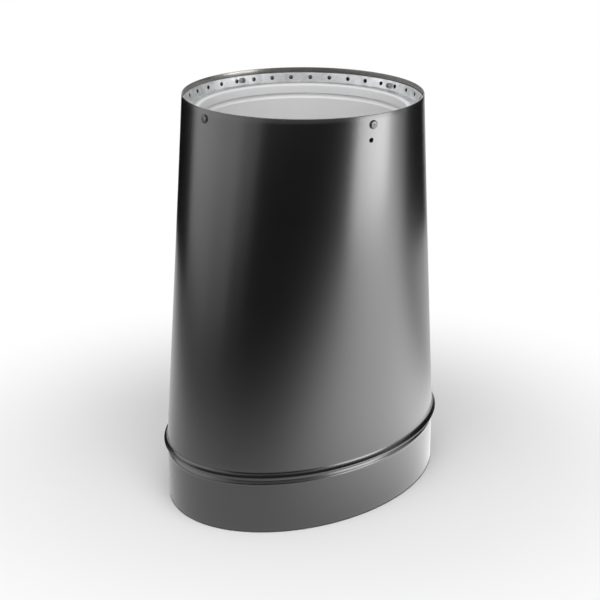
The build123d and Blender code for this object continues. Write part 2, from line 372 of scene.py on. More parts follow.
def startGroup(name, inputs, outputs):
    group = bpy.data.node_groups.new(name, "ShaderNodeTree")
    for socketName, value in inputs.items():
        socket = group.interface.new_socket(name=socketName, in_out="INPUT", socket_type="NodeSocketFloat")
        socket.default_value = value
    for socketName in outputs:
        group.interface.new_socket(name=socketName, in_out="OUTPUT", socket_type="NodeSocketFloat")
    return group, group.nodes.new("NodeGroupInput"), group.nodes.new("NodeGroupOutput")


def addNode(tree, kind):
    return tree.nodes.new("ShaderNode" + kind)


def setInputs(node, values):
    for socketName, value in values.items():
        node.inputs[socketName].default_value = value


def addMath(tree, operation, first, second=None, third=None):
    node = addNode(tree, "Math")
    node.operation = operation
    for socket, value in zip(node.inputs, (first, second, third)):
        if value is None:
            continue
        if isinstance(value, (int, float)):
            socket.default_value = value
        else:
            tree.links.new(value, socket)
    return node.outputs[0]


def objectPlace(tree):
    return addNode(tree, "TexCoord").outputs["Object"]


def pointValues(tree, name):
    node = addNode(tree, "Attribute")
    node.attribute_name = name
    return node.outputs["Fac"]


def addNoise(tree, vector, scale, detail, roughness=0.5):
    node = addNode(tree, "TexNoise")
    setInputs(node, {"Detail": detail, "Roughness": roughness})
    tree.links.new(vector, node.inputs["Vector"])
    if isinstance(scale, (int, float)):
        node.inputs["Scale"].default_value = scale
    else:
        tree.links.new(scale, node.inputs["Scale"])
    return node.outputs["Fac"]


def makePaintPeel():
    # the fine orange peel of sprayed paint, and its slow drift in gloss
    inputs = {"Grains per metre": 900, "Drifts per metre": 14, "Drift": 0.05}
    group, given, out = startGroup("paintPeel", inputs, ("Height", "Gloss"))
    place = objectPlace(group)
    fine = addNoise(group, place, given.outputs["Grains per metre"], 2)
    slow = addNoise(group, place, given.outputs["Drifts per metre"], 3)
    group.links.new(fine, out.inputs["Height"])
    drift = addMath(group, "MULTIPLY", addMath(group, "SUBTRACT", slow, 0.5), given.outputs["Drift"])
    group.links.new(drift, out.inputs["Gloss"])
    return group


def makeRollGrain():
    # faint lines left by the rolling mill, running round the pipe
    inputs = {"Lines per metre": 2600, "Stretch": 60}
    group, given, out = startGroup("rollGrain", inputs, ("Height", "Tone"))
    place = objectPlace(group)
    split = addNode(group, "SeparateXYZ")
    group.links.new(place, split.inputs[0])
    x, y = split.outputs["X"], split.outputs["Y"]
    angle = addMath(group, "ARCTAN2", y, x)
    square = addMath(group, "ADD", addMath(group, "MULTIPLY", x, x), addMath(group, "MULTIPLY", y, y))
    radius = addMath(group, "SQRT", square)
    join = addNode(group, "CombineXYZ")
    # the cosine and sine of the angle keep the lines unbroken where the angle wraps
    lines = given.outputs["Lines per metre"]
    for axis, part in ((0, "COSINE"), (1, "SINE")):
        around = addMath(group, "MULTIPLY", addMath(group, part, angle), given.outputs["Stretch"])
        group.links.new(around, join.inputs[axis])
    up = addMath(group, "MULTIPLY", addMath(group, "ADD", split.outputs["Z"], radius), lines)
    group.links.new(up, join.inputs[2])
    grain = addNoise(group, join.outputs[0], 1.0, 3, 0.6)
    group.links.new(grain, out.inputs["Height"])
    group.links.new(addMath(group, "SUBTRACT", grain, 0.5), out.inputs["Tone"])
    return group


def makeEdgeRub():
    # where handling has thinned the finish: along cut edges, broken up by noise
    inputs = {"Amount": 0.5, "Patches per metre": 260, "Sharpness": 4}
    group, given, out = startGroup("edgeRub", inputs, ("Mask",))
    place = objectPlace(group)
    near = pointValues(group, "edgeNear")
    patches = addNoise(group, place, given.outputs["Patches per metre"], 4, 0.6)
    reach = addMath(group, "ADD", near, addMath(group, "SUBTRACT", given.outputs["Amount"], 1.0))
    broken = addMath(group, "SUBTRACT", reach, addMath(group, "SUBTRACT", patches, 0.5))
    worn = addMath(group, "MULTIPLY", broken, given.outputs["Sharpness"])
    mask = addMath(group, "MINIMUM", addMath(group, "MAXIMUM", worn, 0.0), near)
    group.links.new(mask, out.inputs["Mask"])
    return group


def makeSheetDrift():
    # the slow unevenness of thin sheet, which bends its reflections a little
    group, given, out = startGroup("sheetDrift", {"Waves per metre": 9}, ("Height", "Tone"))
    slow = addNoise(group, objectPlace(group), given.outputs["Waves per metre"], 1)
    group.links.new(slow, out.inputs["Height"])
    group.links.new(addMath(group, "SUBTRACT", slow, 0.5), out.inputs["Tone"])
    return group


paintPeel = makePaintPeel()
rollGrain = makeRollGrain()
edgeRub = makeEdgeRub()
sheetDrift = makeSheetDrift()
print("shared effects made")


# finishes

def startFinish(name):
    material = bpy.data.materials.new(name)
    material.use_nodes = True
    tree = material.node_tree
    shader = tree.nodes["Principled BSDF"]
    return material, tree, shader


def addEffect(tree, group, values):
    node = addNode(tree, "Group")
    node.node_tree = group
    setInputs(node, values)
    return node


def addBump(tree, height, distance, under=None):
    bump = addNode(tree, "Bump")
    setInputs(bump, {"Distance": distance, "Strength": 1.0})
    tree.links.new(height, bump.inputs["Height"])
    if under is not None:
        tree.links.new(under, bump.inputs["Normal"])
    return bump.outputs["Normal"]


def mixColour(tree, share, first, second):
    mix = addNode(tree, "Mix")
    mix.data_type = "RGBA"
    tree.links.new(share, mix.inputs["Factor"])
    for socket, value in ((mix.inputs["A"], first), (mix.inputs["B"], second)):
        if isinstance(value, tuple):
            socket.default_value = (*value, 1)
        else:
            tree.links.new(value, socket)
    return mix.outputs["Result"]


def setSurface(tree, shader, colour, rough, bumpy):
    for socket, value in (("Base Color", colour), ("Roughness", rough), ("Normal", bumpy)):
        tree.links.new(value, shader.inputs[socket])


def makeBlackPaint(name, look):
    material, tree, shader = startFinish(name)
    peel = addEffect(tree, paintPeel, {"Grains per metre": look["grains"], "Drift": look["glossDrift"]})
    drift = addEffect(tree, sheetDrift, {"Waves per metre": look["waves"]})
    rub = addEffect(tree, edgeRub, {"Amount": look["rub"]})
    toned = addMath(tree, "MULTIPLY_ADD", drift.outputs["Tone"], look["driftTone"], 0.5)
    paint = mixColour(tree, toned, look["dark"], look["light"])
    colour = mixColour(tree, rub.outputs["Mask"], paint, look["bare"])
    # bare metal on faces and rivet ends that look into the wall
    inside = pointValues(tree, "insideWall")
    tree.links.new(inside, shader.inputs["Metallic"])
    colour = mixColour(tree, inside, colour, look["unpainted"])
    rough = addMath(tree, "ADD", peel.outputs["Gloss"], look["roughness"])
    shader.inputs["Specular IOR Level"].default_value = look["specular"]
    slow = addBump(tree, drift.outputs["Height"], look["waveDepth"])
    setSurface(tree, shader, colour, rough, addBump(tree, peel.outputs["Height"], look["peelDepth"], slow))
    return material


def makeSheetMetal(name, look):
    material, tree, shader = startFinish(name)
    grain = addEffect(tree, rollGrain, {"Lines per metre": look["lines"], "Stretch": look["stretch"]})
    drift = addEffect(tree, sheetDrift, {"Waves per metre": look["waves"]})
    toned = addMath(tree, "MULTIPLY_ADD", grain.outputs["Tone"], look["grainTone"], 0.5)
    toned = addMath(tree, "MULTIPLY_ADD", drift.outputs["Tone"], look["driftTone"], toned)
    colour = mixColour(tree, toned, look["dark"], look["light"])
    rough = addMath(tree, "MULTIPLY_ADD", grain.outputs["Tone"], look["grainRough"], look["roughness"])
    shader.inputs["Metallic"].default_value = look["metal"]
    slow = addBump(tree, drift.outputs["Height"], look["waveDepth"])
    setSurface(tree, shader, colour, rough, addBump(tree, grain.outputs["Height"], look["grainDepth"], slow))
    return material


def makeZincCoat(name, look):
    material, tree, shader = startFinish(name)
    place = objectPlace(tree)
    bent = addNode(tree, "TexNoise")
    bent.inputs["Scale"].default_value = look["spangles"] * look["bendScale"]
    tree.links.new(place, bent.inputs["Vector"])
    shifted = addNode(tree, "VectorMath")
    shifted.operation = "MULTIPLY_ADD"
    tree.links.new(bent.outputs["Color"], shifted.inputs[0])
    shifted.inputs[1].default_value = (look["bend"] / look["spangles"],) * 3
    tree.links.new(place, shifted.inputs[2])
    cells = addNode(tree, "TexVoronoi")
    cells.inputs["Scale"].default_value = look["spangles"]
    tree.links.new(shifted.outputs[0], cells.inputs["Vector"])
    tone = addNode(tree, "SeparateColor")
    tree.links.new(cells.outputs["Color"], tone.inputs[0])
    grain = addEffect(tree, rollGrain, {"Lines per metre": look["lines"], "Stretch": look["stretch"]})
    share = addMath(tree, "MULTIPLY_ADD", grain.outputs["Tone"], look["grainTone"], tone.outputs["Red"])
    colour = mixColour(tree, share, look["dark"], look["light"])
    rough = addMath(tree, "MULTIPLY_ADD", tone.outputs["Green"], look["roughSpread"], look["roughness"])
    shader.inputs["Metallic"].default_value = look["metal"]
    setSurface(tree, shader, colour, rough, addBump(tree, tone.outputs["Blue"], look["spangleDepth"]))
    return material


shellPaintLook = {
    "dark": (0.0028, 0.0028, 0.003),
    "light": (0.0042, 0.0042, 0.0044),
    "bare": (0.05, 0.05, 0.052),
    "roughness": 0.25,
    "glossDrift": 0.05,
    "specular": 1.0,
    "grains": 900,
    "peelDepth": 0.00002,
    "waves": 9,
    "waveDepth": 0.0003,
    "driftTone": 0.6,
    "rub": 0.35,
    "unpainted": (0.26, 0.252, 0.238),  # overspray on the steel inside
}
rivetPaintLook = {**shellPaintLook, "roughness": 0.3, "rub": 0.2, "waveDepth": 0.0}
rivetPaintLook["unpainted"] = (0.6, 0.6, 0.61)
stainlessLook = {
    "dark": (0.76, 0.76, 0.765),
    "light": (0.88, 0.88, 0.885),
    "metal": 0.3,
    "roughness": 0.62,
    "lines": 2600,
    "stretch": 40,
    "waves": 12,
    "waveDepth": 0.0002,
    "grainTone": 0.8,
    "driftTone": 0.5,
    "grainRough": 0.12,
    "grainDepth": 0.000012,
}
rivetSteelLook = {**stainlessLook, "metal": 1.0, "roughness": 0.3, "lines": 1500, "grainDepth": 0.0}
mandrelLook = {**rivetSteelLook, "dark": (0.16, 0.16, 0.165), "light": (0.3, 0.3, 0.31), "roughness": 0.45}
zincLook = {
    "dark": (0.62, 0.63, 0.64),
    "light": (0.78, 0.79, 0.8),
    "metal": 0.75,
    "roughness": 0.34,
    "roughSpread": 0.16,
    "spangles": 210,
    "spangleDepth": 0.00003,
    "bend": 0.6,  # how far noise bends the spangles' edges, in spangles
    "bendScale": 0.8,
    "grainTone": 0.4,
    "lines": 1800,
    "stretch": 30,
}
# a finish for each of the record's material slots
finishes = {
    "satin_black": makeBlackPaint("satinBlackPaint", shellPaintLook),
    "painted_rivet": makeBlackPaint("paintedRivetHead", rivetPaintLook),
    "stainless": makeSheetMetal("millStainless", stainlessLook),
    "steel_rivet": makeSheetMetal("rivetSteel", rivetSteelLook),
    "mandrel_steel": makeSheetMetal("mandrelSteel", mandrelLook),
    "galvanised": makeZincCoat("galvanisedSheet", zincLook),
}
print("finishes made:", len(finishes))


# where the walls and rivets are

shellStock, ringStock, linerStock, lapGap = sheetStock.values()
flueRadius = next(
    mount["dims"]["r_mm"] for mount in frame["record"]["mounts"] if mount["name"] == "flue_socket"
) * mm


placesTried = 7200  # round a wall, when the one nearest to a rivet is looked for
ovalSteps = 20000  # short runs that an oval's length is added up from


def solidPoints(node):
    # vertices of each separate solid of a CAD node
    bm = bmesh.new()
    bm.from_mesh(frame["nodes"][node].data)
    bmesh.ops.remove_doubles(bm, verts=bm.verts, dist=samePlace)
    left, solids = set(bm.verts), []
    while left:
        reached, waiting = set(), [next(iter(left))]
        while waiting:
            vertex = waiting.pop()
            if vertex in reached:
                continue
            reached.add(vertex)
            waiting.extend(link.other_vert(vertex) for link in vertex.link_edges)
        left -= reached
        solids.append(np.array([vertex.co for vertex in reached]))
    bm.free()
    return sorted(solids, key=lambda points: math.atan2(points[:, 1].mean(), points[:, 0].mean()))


def turnTowards(size, polarAngle):
    # the oval's own parameter where a ray at this polar angle meets it
    return math.atan2(math.sin(polarAngle) / size[1], math.cos(polarAngle) / size[0])


def rivetSeats(node, sizeAt, offset):
    # seat and outward axis of each rivet on a wall, and how far its tail reaches behind the seat
    wall = Surface([(offset, bottomZ), (offset, rimZ)], sizeAt)
    seats = []
    for points in solidPoints(node):
        middle = (points.min(0) + points.max(0)) / 2
        turns = np.linspace(0, fullTurn, placesTried, endpoint=False)
        up = middle[2] - bottomZ
        turn = turns[np.argmin(np.linalg.norm(wall.point(turns, up) - middle, axis=1))]
        axis, seat = wall.normal(turn, up), wall.point(turn, up)
        side = np.cross((0, 0, 1), axis)
        side /= np.linalg.norm(side)
        for across in (side, np.cross(axis, side)):
            spread = (points - seat) @ across
            seat = seat + across * (spread.min() + spread.max()) / 2
        seats.append((seat, axis, float(-((points - seat) @ axis).min()), float(turn)))
    return seats


# outer shell

shell = {
    "lipRadius": 3.6 * mm,
    "lipTurn": 78,  # degrees that the sheet rolls outwards
    "noseRadius": 0.38 * mm,
    "hemRun": 2.0 * mm,  # how far the folded edge runs back under the lip
    "pilotRadius": 1.8 * mm,
    "pilotDrop": 17.8 * mm,
    "pilotAngles": (253, 13, 133),
    "holeMargin": 1.2 * mm,
    "columns": 288,
    "plainRows": (4 * mm, 24 * mm, 20),  # clear of the lip, clear of the rim, and how many
}
lipRoll = math.radians(shell["lipTurn"])
lipReach = shell["lipRadius"] * (1 - math.cos(lipRoll))
lipTopZ = lipZ + 2 * shellStock + shell["lipRadius"] * math.sin(lipRoll)
ovalHalf = (shellHigh.x - lipReach, shellHigh.y - lipReach)
wallSize = taper(lipTopZ, ovalHalf, rimZ, (ovalHalf[1], ovalHalf[1]))
topSeats = rivetSeats("top_rivets", wallSize, 0)
rivetHole = {"radius": 1.65 * mm, "margin": 1.2 * mm}


def seatHeight(seats):
    return float(np.mean([seat[2] for seat, *rest in seats]))


def rivetHoles(seats, along):
    return [(turn, along, rivetHole["radius"], rivetHole["margin"]) for *rest, turn in seats]


def markInside(piece, above):
    # tells the paint which faces look towards the flue
    marks = [
        float(point.co.z > above and point.normal.x * point.co.x + point.normal.y * point.co.y < 0)
        for point in piece.data.vertices
    ]
    addPointValues(piece.data, "insideWall", marks)


def makeOuterShell():
    middle = -shellStock / 2
    roll = shell["lipRadius"] + shellStock / 2
    nose = shell["noseRadius"]
    # the sheet rolls outwards until it meets the nose of its fold, which turns it back under the lip
    noseX = lipReach - shellStock / 2 - nose
    outwards = math.acos((roll + middle - noseX) / (roll + nose))
    noseZ = lipTopZ - (roll + nose) * math.sin(outwards)
    path = arcPath((middle + roll, lipTopZ), roll, 180, 180 + math.degrees(outwards), 12)
    path += arcPath((noseX, noseZ), nose, math.degrees(outwards), -90, 10)
    path += [(noseX - shell["hemRun"], noseZ - nose)]
    surface = Surface(path[::-1] + [(middle, rimZ - shellStock / 2)], wallSize)
    holes = []
    pilotZ = rimZ - shell["pilotDrop"]
    for angle in shell["pilotAngles"]:
        turn = turnTowards(wallSize(pilotZ), math.radians(angle))
        holes.append((turn, surface.distanceAt(pilotZ), shell["pilotRadius"], shell["holeMargin"]))
    holes += rivetHoles(topSeats, surface.distanceAt(seatHeight(topSeats)))
    low, high, count = shell["plainRows"]
    rows = np.linspace(surface.distanceAt(lipTopZ + low), surface.distanceAt(rimZ - high), count)
    piece = makeWall("outer_shell", surface, shellStock, "satin_black", holes, shell["columns"], rows)
    markInside(piece, lipTopZ)


makeOuterShell()
print("outer shell made")


# oval collar

collar = {
    "beadHeight": 3.0 * mm,
    "beadDepth": 0.6 * mm,
    "beadGap": 4.2 * mm,  # lip's underside down to the top of the bead
    "neckHeight": 1.5 * mm,
    "neckBend": 0.7 * mm,
    "columns": 288,
    "plainRows": (4 * mm, 32 * mm, 6),  # first and last along the path, and how many
}


def makeOvalCollar():
    middle = -shellStock / 2
    tucked = middle - shellStock - lapGap
    beadHigh = lipZ - collar["beadGap"]
    bead = beadPath(middle, beadHigh - collar["beadHeight"], beadHigh, collar["beadDepth"])
    corners = [
        (middle, beadHigh),
        (tucked, beadHigh + collar["neckHeight"]),
        (tucked, lipTopZ),
        (tucked, collarHigh.z - shellStock / 2),
    ]
    neck = roundPath(corners, collar["neckBend"])
    path = [(middle, collarLow.z + shellStock / 2)] + bead + neck[1:]
    rows = np.linspace(*collar["plainRows"])
    surface = Surface(path, wallSize)
    piece = makeWall("oval_collar", surface, shellStock, "satin_black", (), collar["columns"], rows)
    markInside(piece, bottomZ)


makeOvalCollar()
print("collar made")


# perforated ring at the round end

topRing = {
    "depth": 7.2 * mm,  # upper edge down to the floor that the next pipe stands on
    "lean": 1.5 * mm,
    "bend": 0.8 * mm,
    "vents": 36,
    "firstVent": 7.2,  # degrees
    "ventRadius": 1.6 * mm,
    "ventMargin": 0.6 * mm,
    "columnsPerVent": 9,
}
topFloorZ = topRingHigh.z - topRing["depth"]
flangeMiddle = flueRadius + linerStock + lapGap + ringStock / 2
plainRound = evenSize(0, 0)  # paths round the flue carry the whole radius themselves


def ventHoles(ring, turns, along):
    return [(turn, along, ring["ventRadius"], ring["ventMargin"]) for turn in turns]


def makeTopRing():
    bandTop = ovalHalf[1] - shellStock - lapGap - ringStock / 2
    floorMiddle = topFloorZ - ringStock / 2
    corners = [
        (bandTop, topRingHigh.z - ringStock / 2),
        (bandTop - topRing["lean"], floorMiddle),
        (flangeMiddle, floorMiddle),
        (flangeMiddle, topRingLow.z + ringStock / 2),
    ]
    surface = Surface(roundPath(corners, topRing["bend"]), plainRound)
    first, step = math.radians(topRing["firstVent"]), fullTurn / topRing["vents"]
    turns = [first + index * step for index in range(topRing["vents"])]
    holes = ventHoles(topRing, turns, surface.distanceAt((topRingHigh.z + topFloorZ) / 2))
    columns = topRing["vents"] * topRing["columnsPerVent"]
    makeWall("top_spacer_ring", surface, ringStock, "galvanised", holes, columns)


makeTopRing()
print("top ring made")


# flue wall: sleeve, liner and oval spigot

sleeve = {
    "rimWidth": 3.0 * mm,
    "beadHeight": 4.4 * mm,
    "beadDepth": 1.4 * mm,
    "columns": 256,
    "plainRows": (22 * mm, 50 * mm, 5),
}
liner = {
    "straight": 2.0 * mm,  # plain stretch beyond each lap, before the taper starts
    "columns": 256,
    "plainRows": (20 * mm, 190 * mm, 18),
}
spigot = {
    "leadIn": 1.0 * mm,
    "leadHeight": 6.0 * mm,
    "leadBend": 6.0 * mm,
    "beadHeight": 5.0 * mm,
    "beadDepth": 1.5 * mm,
    "beadGap": 2.0 * mm,  # bead's top down from the lower ring
    "columns": 256,
}
spigotHalf = (spigotHigh.x - spigot["beadDepth"], spigotHigh.y - spigot["beadDepth"])
spigotSize = evenSize(*spigotHalf)
spigotSeats = rivetSeats("spigot_rivets", spigotSize, lapGap + ringStock)


def makeSleeve():
    middle = flueRadius + linerStock / 2
    rimMiddle = sleeveHigh.z - linerStock / 2
    beadHigh = topRingLow.z - lapGap - linerStock / 2
    lipOut = middle + sleeve["rimWidth"] - linerStock / 2
    bend = topRing["bend"] + ringStock / 2 + lapGap + linerStock / 2
    rim = roundPath([(lipOut, rimMiddle), (middle, rimMiddle), (middle, beadHigh)], bend)
    bead = beadPath(middle, beadHigh - sleeve["beadHeight"], beadHigh, sleeve["beadDepth"])
    path = rim[:-1] + bead[::-1] + [(middle, sleeveLow.z + linerStock / 2)]
    surface = Surface(path, plainRound)
    rows = np.linspace(*sleeve["plainRows"])
    makeWall("inner_sleeve", surface, linerStock, "stainless", (), sleeve["columns"], rows)


def makeLiner():
    inside = tuple(half - linerStock - lapGap for half in spigotHalf)
    outside = flueRadius + 2 * linerStock + lapGap
    lowBend, highBend = spigotHigh.z + liner["straight"], sleeveLow.z - liner["straight"]
    middle = -linerStock / 2
    heights = (linerLow.z + linerStock / 2, lowBend, highBend, linerHigh.z - linerStock / 2)
    size = taper(lowBend, inside, highBend, (outside, outside))
    surface = Surface([(middle, z) for z in heights], size)
    holes = rivetHoles(spigotSeats, surface.distanceAt(seatHeight(spigotSeats)))
    rows = np.linspace(*liner["plainRows"])
    makeWall("inner_liner", surface, linerStock, "stainless", holes, liner["columns"], rows)


def makeSpigot():
    middle = -linerStock / 2
    beadHigh = bottomRingLow.z - spigot["beadGap"]
    corners = [
        (middle - spigot["leadIn"], spigotLow.z + linerStock / 2),
        (middle, spigotLow.z + spigot["leadHeight"]),
        (middle, beadHigh - spigot["beadHeight"]),
    ]
    path = roundPath(corners, spigot["leadBend"])
    path += beadPath(middle, beadHigh - spigot["beadHeight"], beadHigh, spigot["beadDepth"])
    path += [(middle, spigotHigh.z - linerStock / 2)]
    surface = Surface(path, spigotSize)
    holes = rivetHoles(spigotSeats, surface.distanceAt(seatHeight(spigotSeats)))
    makeWall("oval_spigot", surface, linerStock, "stainless", holes, spigot["columns"])


makeSleeve()
makeLiner()
makeSpigot()
print("flue wall made")


# perforated ring inside the collar

bottomRing = {
    "slide": 0.3 * mm,  # running room between the hem and the collar
    "hemHeight": 6.0 * mm,
    "bend": 0.8 * mm,
    "vents": 44,
    "ventRadius": 2.2 * mm,
    "ventMargin": 0.9 * mm,
    "columnsPerVent": 9,
}


def evenTurns(halfLength, halfWidth, count):
    # the oval's own parameter at places spaced evenly along it
    turns = np.linspace(0, fullTurn, ovalSteps + 1)
    steps = np.hypot(np.diff(halfLength * np.cos(turns)), np.diff(halfWidth * np.sin(turns)))
    travelled = np.concatenate(([0], np.cumsum(steps)))
    return np.interp(np.arange(count) * travelled[-1] / count, travelled, turns)


def makeBottomRing():
    hemOutside = ovalHalf[0] - 2 * shellStock - lapGap - bottomRing["slide"] - spigotHalf[0]
    hemMiddle = hemOutside - ringStock / 2
    flange = lapGap + ringStock / 2
    floorMiddle = bottomRingLow.z + ringStock / 2
    corners = [
        (hemMiddle, bottomRingLow.z + bottomRing["hemHeight"] - ringStock / 2),
        (hemMiddle, floorMiddle),
        (flange, floorMiddle),
        (flange, bottomRingHigh.z - ringStock / 2),
    ]
    surface = Surface(roundPath(corners, bottomRing["bend"]), spigotSize)
    ventOffset = (hemMiddle + flange) / 2
    ventAlong = surface.distanceAt(floorMiddle) + (hemMiddle - bottomRing["bend"] - ventOffset)
    places = evenTurns(spigotHalf[0] + ventOffset, spigotHalf[1] + ventOffset, bottomRing["vents"])
    flangeAlong = surface.along[-1] - (bottomRingHigh.z - ringStock / 2 - seatHeight(spigotSeats))
    holes = ventHoles(bottomRing, places, ventAlong) + rivetHoles(spigotSeats, flangeAlong)
    columns = bottomRing["vents"] * bottomRing["columnsPerVent"]
    makeWall("bottom_spacer_ring", surface, ringStock, "galvanised", holes, columns)


makeBottomRing()
print("bottom ring made")


# blind rivets

rivet = {
    "shankRadius": 1.6 * mm,
    "headRadius": 3.2 * mm,
    "headHeight": 1.1 * mm,
    "edgeHeight": 0.25 * mm,
    "tailRadius": 2.2 * mm,
    "tailLength": 2.0 * mm,
    "boreRadius": 0.92 * mm,
    "mandrelRadius": 0.9 * mm,
    "mandrelRecess": 0.3 * mm,
    "ballRadius": 1.4 * mm,
    "ballLength": 1.0 * mm,
    "ballGap": 0.02 * mm,
    "ballCurve": 6,
    # where the mandrel snapped off, slightly ragged: shares of its radius, and rises
    "brokenEnd": ((0, 0), (0.4, 0.1 * mm), (0.75, -0.05 * mm), (1, -0.12 * mm)),
    "boreRound": 0.12 * mm,  # softened edge where the mandrel broke off
    "headRound": 0.08 * mm,
    "domePower": 2.4,  # how flat the head's crown is
    "curve": 8,  # steps along the dome and along the tail's bulge
    "insideBelow": -0.05 * mm,  # points under this height lie behind the sheet
    "steps": 36,
}


def turnedRing(vertices, faces, inside, seat, axis, outline, steps):
    # carries a closed outline of (radius, height) points round an axis; points on the axis are shared
    side = np.cross((0, 0, 1), axis)
    side = side / np.linalg.norm(side)
    across = np.cross(axis, side)
    rings = []
    for radius, height in outline:
        first, count = len(vertices), steps if radius else 1
        for step in range(count):
            angle = fullTurn * step / steps
            arm = side * math.cos(angle) + across * math.sin(angle)
            vertices.append(tuple(seat + axis * height + arm * radius))
            inside.append(float(height < rivet["insideBelow"]))
        rings.append([first + step % count for step in range(steps)])
    for near, far in zip(rings, rings[1:] + rings[:1]):
        for step in range(steps):
            after = (step + 1) % steps
            # a point on the axis counts once
            corners = tuple(dict.fromkeys((near[step], near[after], far[after], far[step])))
            if len(corners) > 2:
                faces.append(corners)


def rivetOutline(reach):
    grip = reach - rivet["tailLength"]
    bore, shank, head = rivet["boreRadius"], rivet["shankRadius"], rivet["headRadius"]
    crown, edge, curve = rivet["headHeight"], rivet["edgeHeight"], rivet["curve"]
    boreRound, headRound = rivet["boreRound"], rivet["headRound"]
    outline = [(bore, -reach), (bore, crown - boreRound), (bore + boreRound, crown)]
    for step in range(1, curve):
        share = step / curve
        radius = bore + boreRound + share * (head - bore - boreRound)
        dome = math.sqrt(max(0.0, 1 - share ** rivet["domePower"]))
        outline.append((radius, edge + (crown - edge) * dome))
    outline += [(head, edge), (head, headRound), (head - headRound, 0), (shank, 0), (shank, -grip)]
    for step in range(1, curve):
        bulge = (rivet["tailRadius"] - shank) * math.sin(math.pi * step / curve)
        outline.append((shank + bulge, -grip - rivet["tailLength"] * step / curve))
    outline.append((shank, -reach))
    return outline


def mandrelOutline(reach):
    top = rivet["headHeight"] - rivet["mandrelRecess"]
    stem, ball, behind = rivet["mandrelRadius"], rivet["ballRadius"], -reach - rivet["ballGap"]
    outline = [(share * stem, top + rise) for share, rise in rivet["brokenEnd"]]
    outline += [(stem, behind), (ball, behind)]
    for step in range(1, rivet["ballCurve"]):
        angle = math.pi / 2 * step / rivet["ballCurve"]
        outline.append((ball * math.cos(angle), behind - rivet["ballLength"] * math.sin(angle)))
    outline.append((0, behind - rivet["ballLength"]))
    return outline


def makeRivetSet(name, seats, outlineFor, slot, node):
    vertices, faces, inside = [], [], []
    for seat, axis, reach, turn in seats:
        turnedRing(vertices, faces, inside, seat, axis, outlineFor(reach), rivet["steps"])
    piece = makeObject(name, vertices, faces)
    addPointValues(piece.data, "insideWall", inside)
    placePiece(piece, slot, node)


for end, seats, slot in (("top", topSeats, "painted_rivet"), ("spigot", spigotSeats, "steel_rivet")):
    makeRivetSet(f"{end}_rivet_bodies", seats, rivetOutline, slot, f"{end}_rivets")
    makeRivetSet(f"{end}_rivet_stems", seats, mandrelOutline, "mandrel_steel", f"{end}_rivet_mandrels")
print("rivets made")


# floor, light and camera

view = {
    "standsAt": 221,  # degrees round the flue from the oval's long axis
    "elevation": 19.61,
    "distance": 1.170,
    "lens": 91.64,
    "sensor": 36,
    "shift": (-0.005, -0.0212),
}
# softboxes that only reflections see, turned from the view's own direction and standing on the floor
softboxes = {
    "rightStrip": {"turn": 67.2, "away": 0.9, "width": 0.555, "height": 0.42, "level": 6.1},
    "leftPanel": {"turn": -84, "away": 1.0, "width": 1.2, "height": 0.6, "level": 0.62},
    "leftEdge": {"turn": -96, "away": 0.98, "width": 0.66, "height": 0.6, "level": 0.2},
}
# dark or dim cards that hold back reflections between the softboxes
flags = {
    "frontFlag": {"turn": 4, "away": 0.9, "width": 1.5, "height": 0.31, "level": 0.0},
    "frontVeil": {"turn": 4, "away": 0.92, "width": 1.5, "height": 0.75, "level": 0.45},
    "rightBackFlag": {"turn": 128, "away": 0.68, "width": 0.56, "height": 0.6, "level": 0.0},
    "leftBackFlag": {"turn": -137.5, "away": 0.68, "width": 0.6, "height": 0.4, "level": 0.0},
}
ceiling = {"height": 1.3, "half": 1.1, "level": 0.12}  # dim card overhead, for reflections alone
keyLamp = {"turn": 0, "elevation": 58, "away": 1.6, "side": 1.5, "level": 2.6}
worldLevel = 0.5  # what the surroundings give to matt surfaces
floorLook = {"half": 6.0, "colour": 0.9, "roughness": 0.9, "fade": (0.16, 0.4)}
# how bright the table looks in reflections, as painted light: a base that fades towards the view, and a
# bright right side that paints the right softbox's light on the table
tableGlow = {
    "level": 1.0,
    "fade": (0.15, 0.75),
    "leftDrop": 0.75,
    "leftFade": (0.25, 0.55),
    "rightLevel": 2.0,
    "rightStart": (-0.05, 0.25),
    "rightFade": (0.0, 0.5),
    "rightBackFade": (0.0, 0.22),
    "slant": 0.25,  # how far the fades lean to the right
    "inner": 1.006,  # share of the oval where the sheet starts
    "reach": 2.0,
    "rings": 30,
    "turns": 96,
    "lift": 0.5 * mm,
}


def standing(turn, away, height=0.0):
    # a place round the flue, measured from the view's own direction
    angle = math.radians(view["standsAt"] + turn)
    return Vector((away * math.cos(angle), away * math.sin(angle), height))


def addLamp(name, width, height, level):
    lamp = bpy.data.lights.new(name, "AREA")
    lamp.shape = "RECTANGLE"
    lamp.size = width
    lamp.size_y = height
    lamp.energy = level * math.pi * width * height
    placed = addToScene(name, lamp)
    placed.visible_camera = False
    return placed


def faceAlong(thing, direction):
    thing.rotation_mode = "QUATERNION"
    thing.rotation_quaternion = direction.to_track_quat("-Z", "Y")


def addSoftbox(name, box):
    placed = addLamp(name, box["width"], box["height"], box["level"])
    placed.location = standing(box["turn"], box["away"], bottomZ + box["height"] / 2)
    faceAlong(placed, -standing(box["turn"], 1))
    placed.visible_diffuse = False


def addKeyLamp():
    placed = addLamp("keyLamp", keyLamp["side"], keyLamp["side"], keyLamp["level"])
    lift = math.radians(keyLamp["elevation"])
    towards = standing(keyLamp["turn"], math.cos(lift), math.sin(lift))
    placed.location = towards * keyLamp["away"]
    faceAlong(placed, -towards)
    placed.visible_glossy = False


def makeGlowing(card, name):
    # gives the card a black face that shines, and hands back the socket for how much
    material, tree, shader = startFinish(name)
    setInputs(shader, {"Base Color": (0, 0, 0, 1), "Specular IOR Level": 0, "Emission Color": (1, 1, 1, 1)})
    card.data.materials.append(material)
    # only reflections see it
    card.visible_camera = card.visible_diffuse = card.visible_shadow = False
    return shader.inputs["Emission Strength"]


